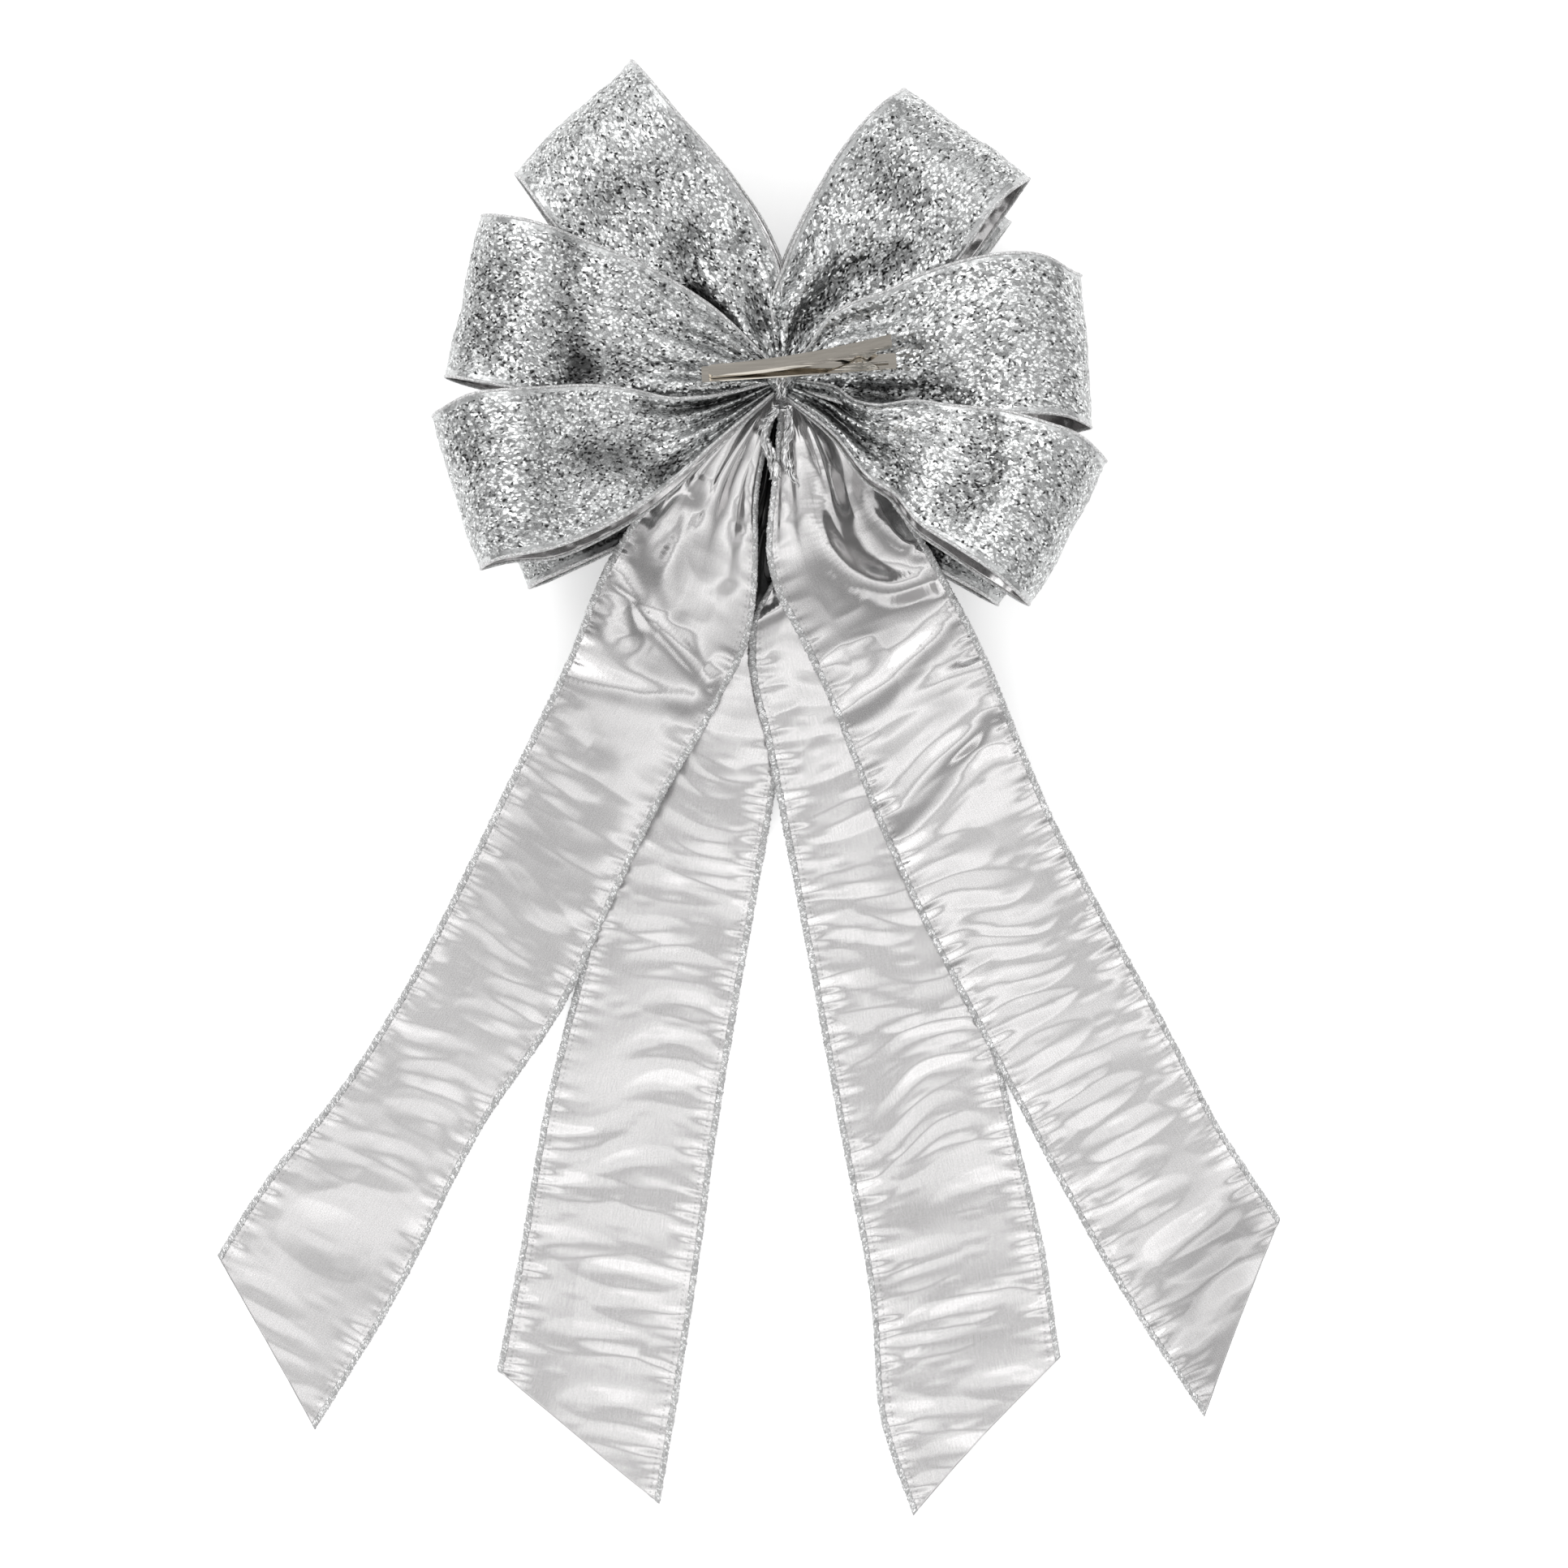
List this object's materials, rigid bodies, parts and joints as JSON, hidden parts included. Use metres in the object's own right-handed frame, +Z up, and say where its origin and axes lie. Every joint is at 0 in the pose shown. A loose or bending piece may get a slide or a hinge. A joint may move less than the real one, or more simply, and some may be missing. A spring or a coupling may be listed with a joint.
{
  "type": "pre-made gift bow",
  "caption": "Pre-made gift bow of wide wire-edged metallic ribbon: two tiers of loops round a tied waist, long slant-cut tails and a sprung alligator clip on the back.",
  "frame": {"origin": "middle of the bow's footprint on the surface it lies on", "axes": "+X to the right and +Y from the tails' ends towards the loops, seen from the clip side; +Z up out of the back, where the clip is"},
  "size_m": [0.413, 0.558, 0.0997],
  "materials": {
    "glitter_ribbon": "crushed metallic foil, silver flecks over grey",
    "lame_ribbon": "smooth silver lame weave, the ribbon's wrong side",
    "hem_wire": "thin steel wire",
    "foil_cord": "twisted metallic foil cord",
    "nickel": "polished nickel plate",
    "spring_steel": "bright spring steel",
    "glue": "set hot-melt glue"
  },
  "bodies": {
    "bow": {"centre_loop": "glitter_ribbon", "centre_loop_wires": "hem_wire", "clip_lower_jaw": "nickel", "clip_pivot_pin": "nickel", "clip_spring_fixed_half": "spring_steel", "front_loop_lower_left": "glitter_ribbon", "front_loop_lower_left_wires": "hem_wire", "front_loop_lower_right": "glitter_ribbon", "front_loop_lower_right_wires": "hem_wire", "front_loop_upper_left": "glitter_ribbon", "front_loop_upper_left_wires": "hem_wire", "front_loop_upper_right": "glitter_ribbon", "front_loop_upper_right_wires": "hem_wire", "gathered_core": "glitter_ribbon", "glue_pad": "glue", "loop_left": "glitter_ribbon", "loop_left_wires": "hem_wire", "loop_lower_left": "glitter_ribbon", "loop_lower_left_wires": "hem_wire", "loop_lower_right": "glitter_ribbon", "loop_lower_right_wires": "hem_wire", "loop_right": "glitter_ribbon", "loop_right_wires": "hem_wire", "loop_upper_left": "glitter_ribbon", "loop_upper_left_wires": "hem_wire", "loop_upper_right": "glitter_ribbon", "loop_upper_right_wires": "hem_wire", "tail_inner_left": "lame_ribbon", "tail_inner_left_wires": "hem_wire", "tail_inner_right": "lame_ribbon", "tail_inner_right_wires": "hem_wire", "tail_outer_left": "lame_ribbon", "tail_outer_left_wires": "hem_wire", "tail_outer_right": "lame_ribbon", "tail_outer_right_wires": "hem_wire", "tie_end_left": "foil_cord", "tie_end_right": "foil_cord", "tie_wrap": "foil_cord"},
    "clip_jaw": {"clip_upper_jaw": "nickel", "clip_spring_moving_half": "spring_steel"}
  },
  "joints": [
    {"name": "clip_open", "type": "hinge", "parent": "bow", "child": "clip_jaw", "pos_m": [0.04016, 0.1655, 0.09097], "axis": [-0.0571, 0.8172, -0.5736], "range_deg": [0, 30], "stiffness_Nm_per_rad": 0.12, "springref_deg": -34.38}
  ]
}
